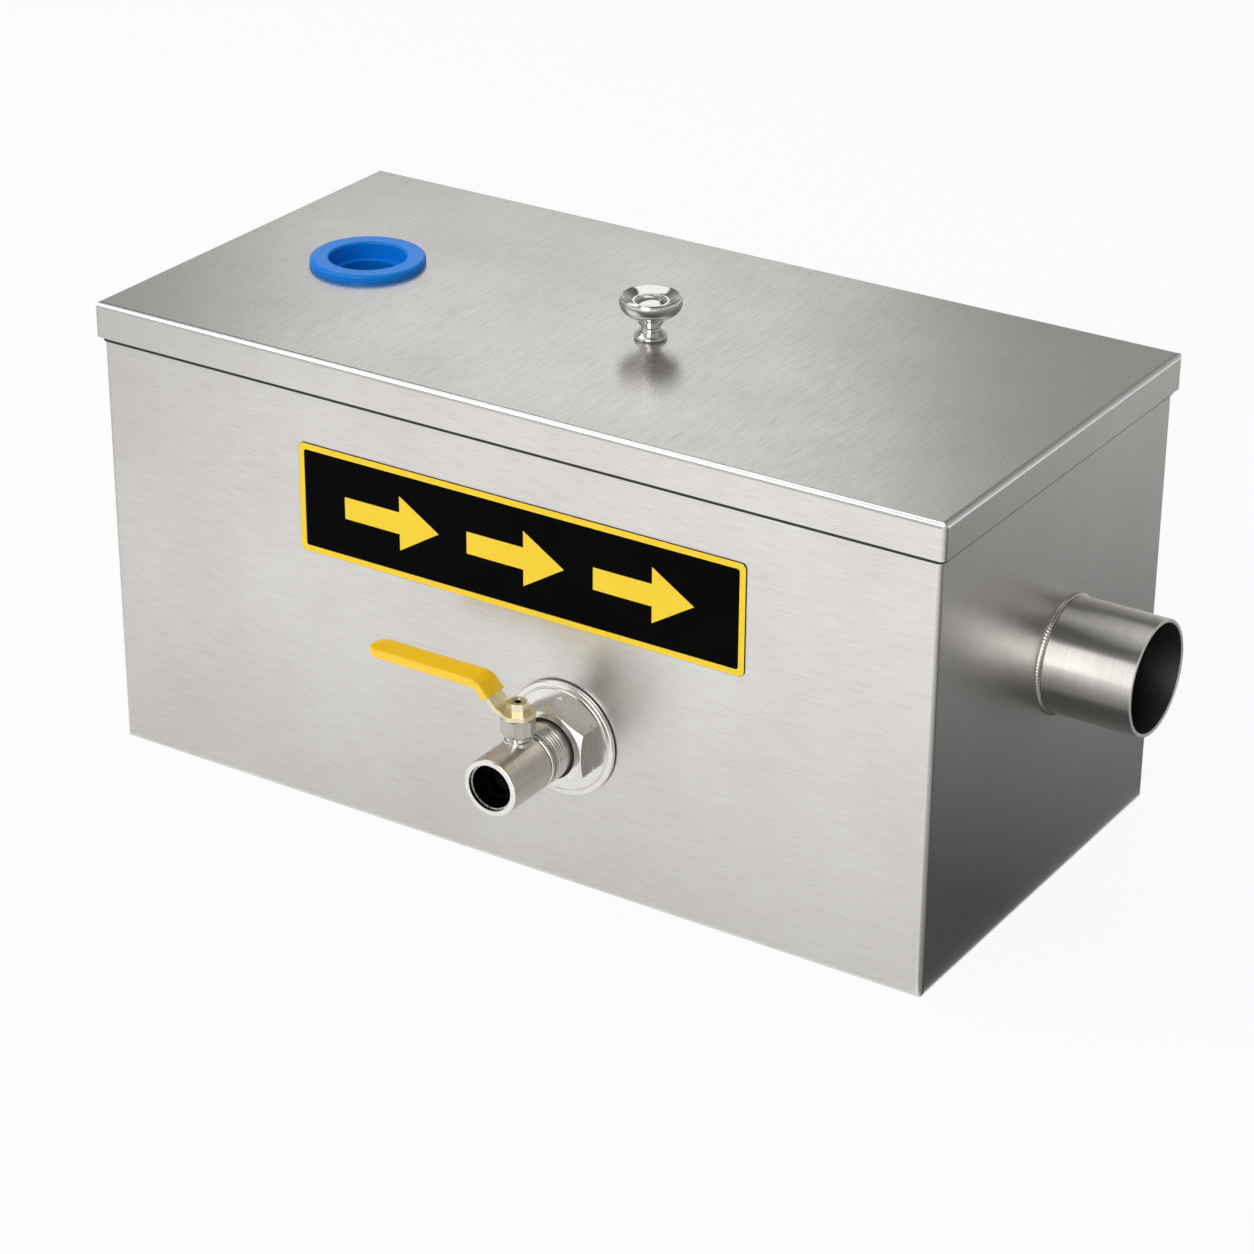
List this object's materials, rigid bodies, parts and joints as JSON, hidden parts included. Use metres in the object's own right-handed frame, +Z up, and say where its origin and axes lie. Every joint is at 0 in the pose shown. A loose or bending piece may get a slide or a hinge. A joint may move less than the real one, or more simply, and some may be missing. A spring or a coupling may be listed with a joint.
{
  "type": "grease trap",
  "caption": "Box-shaped stainless grease trap with a lift-off lid, rubber inlet grommet, turned knob, side outlet pipe and a front drain ball valve with a sleeved lever.",
  "frame": {"origin": "centre of the tank's underside", "axes": "+X along the tank towards the outlet pipe, +Y from the drain valve to the rear wall, +Z up"},
  "size_m": [0.547, 0.312, 0.2772],
  "materials": {
    "brushed_stainless": "brushed with a straight grain",
    "pipe_stainless": "satin",
    "mill_stainless": "mill finish",
    "polished_steel": "polished",
    "valve_nickel": "nickel plated, machined",
    "lever_steel": "yellow passivated",
    "blue_rubber": "glossy",
    "black_rubber": "matt",
    "yellow_vinyl": "glossy dipped vinyl",
    "label_film": "satin printed film",
    "filled_ptfe": "waxy, carbon filled"
  },
  "bodies": {
    "tank": {"tank": "brushed_stainless", "outlet_pipe": "pipe_stainless", "outlet_weld": "pipe_stainless", "dip_elbow": "pipe_stainless", "guide_front_inlet": "mill_stainless", "guide_rear_inlet": "mill_stainless", "guide_front_outlet": "mill_stainless", "guide_rear_outlet": "mill_stainless", "inlet_baffle": "mill_stainless", "outlet_baffle": "mill_stainless", "rail_front": "mill_stainless", "rail_rear": "mill_stainless", "basket_frame": "mill_stainless", "basket_screen": "mill_stainless", "basket_handle_front": "mill_stainless", "basket_handle_rear": "mill_stainless", "valve_body": "valve_nickel", "flange_washer": "valve_nickel", "bulkhead_nut": "valve_nickel", "inner_lock_nut": "valve_nickel", "gland_nut": "valve_nickel", "seat_retainer": "valve_nickel", "rim_seal": "black_rubber", "outer_gasket": "black_rubber", "inner_gasket": "black_rubber", "nut_o_ring": "black_rubber", "label_plate": "label_film", "seat_inner": "filled_ptfe", "seat_outer": "filled_ptfe", "stem_packing": "filled_ptfe"},
    "lid": {"lid": "brushed_stainless", "inlet_grommet": "blue_rubber", "lid_knob": "polished_steel", "knob_screw": "polished_steel", "knob_washer": "mill_stainless", "knob_nut": "mill_stainless"},
    "lever": {"valve_ball": "valve_nickel", "valve_stem": "valve_nickel", "lever_arm": "lever_steel", "lever_sleeve": "yellow_vinyl", "stem_nut": "lever_steel"}
  },
  "joints": [
    {"name": "lid_lift", "type": "slide", "parent": "tank", "child": "lid", "axis": [0, 0, 1], "range_m": [0, 0.2]},
    {"name": "valve_lever", "type": "hinge", "parent": "tank", "child": "lever", "pos_m": [0.04, -0.162, 0.0837], "axis": [0, 0, 1], "range_deg": [0, 90]}
  ]
}
